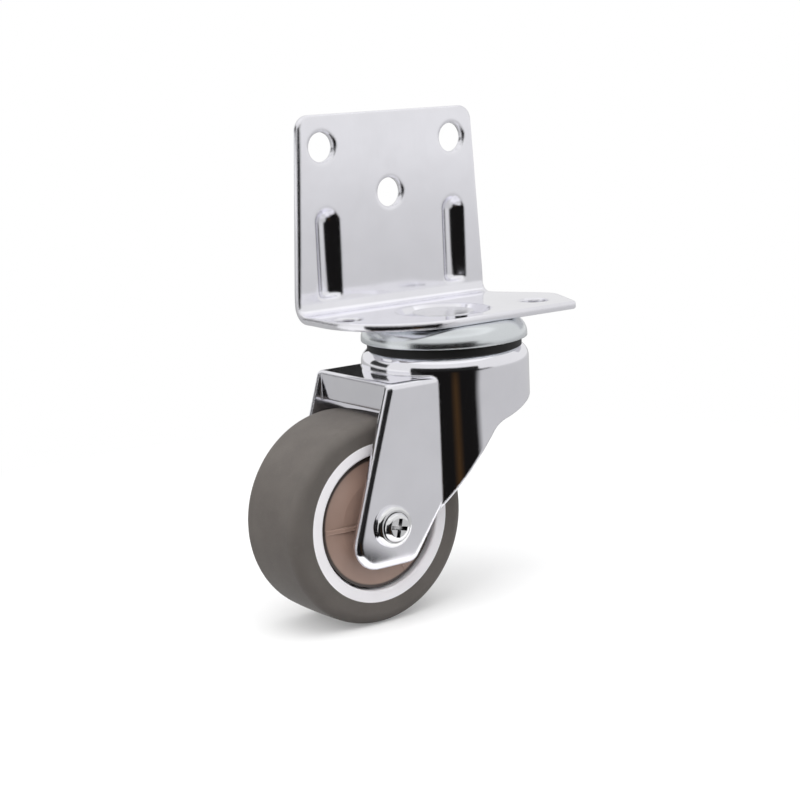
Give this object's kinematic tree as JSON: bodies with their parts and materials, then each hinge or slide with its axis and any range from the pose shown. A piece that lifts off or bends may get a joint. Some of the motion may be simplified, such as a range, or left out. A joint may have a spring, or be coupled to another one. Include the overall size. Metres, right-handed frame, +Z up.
{
  "type": "light-duty swivel castor",
  "caption": "Small swivel castor under a bright pressed L-shaped bracket, with a ball-bearing head, a fork and a soft-tyred wheel for light furniture.",
  "frame": {"origin": "on the swivel axis, at the upper face of the bracket's seat wing, midway between its two screw holes", "axes": "+Z up along the swivel axis; -X towards the trailing wheel; the axle lies along Y; the upright wing stands on the +Y side"},
  "size_m": [0.0723, 0.0355, 0.0956],
  "materials": {
    "bracket_plating": "bright plated, smooth",
    "cup_plating": "bright plated, smooth",
    "fork_plating": "bright plated, smooth",
    "pin_steel": "bright plated rivet",
    "ball_steel": "polished",
    "axle_plating": "bright plated",
    "washer_plating": "bright plated",
    "screw_plating": "bright plated",
    "spacer_steel": "turned",
    "bearing_steel": "ground",
    "seal_rubber": "matt black",
    "tyre_rubber": "matt grey-brown elastomer",
    "core_plastic": "white moulded",
    "cover_plastic": "brown, glossy"
  },
  "bodies": {
    "bracket": {"l_bracket": "bracket_plating", "upper_race_cup": "cup_plating", "king_pin": "pin_steel", "lower_race_cup": "cup_plating", "lower_balls": "ball_steel"},
    "swivel": {"fork": "fork_plating", "dust_seal": "seal_rubber", "upper_balls": "ball_steel", "axle_barrel": "axle_plating", "axle_washer": "washer_plating", "axle_screw": "screw_plating", "near_spacer": "spacer_steel", "far_spacer": "spacer_steel", "near_bearing_inner_ring": "bearing_steel", "far_bearing_inner_ring": "bearing_steel", "near_bearing_balls": "ball_steel", "far_bearing_balls": "ball_steel"},
    "wheel": {"tyre": "tyre_rubber", "wheel_core": "core_plastic", "near_cover": "cover_plastic", "far_cover": "cover_plastic", "near_bearing_outer_ring": "bearing_steel", "far_bearing_outer_ring": "bearing_steel"}
  },
  "joints": [
    {"name": "swivel_turn", "type": "hinge", "parent": "bracket", "child": "swivel", "pos_m": [0, 0, 0], "axis": [0, 0, 1], "continuous": true},
    {"name": "wheel_spin", "type": "hinge", "parent": "swivel", "child": "wheel", "pos_m": [-0.0232, 0, -0.037], "axis": [0, 1, 0], "continuous": true}
  ]
}
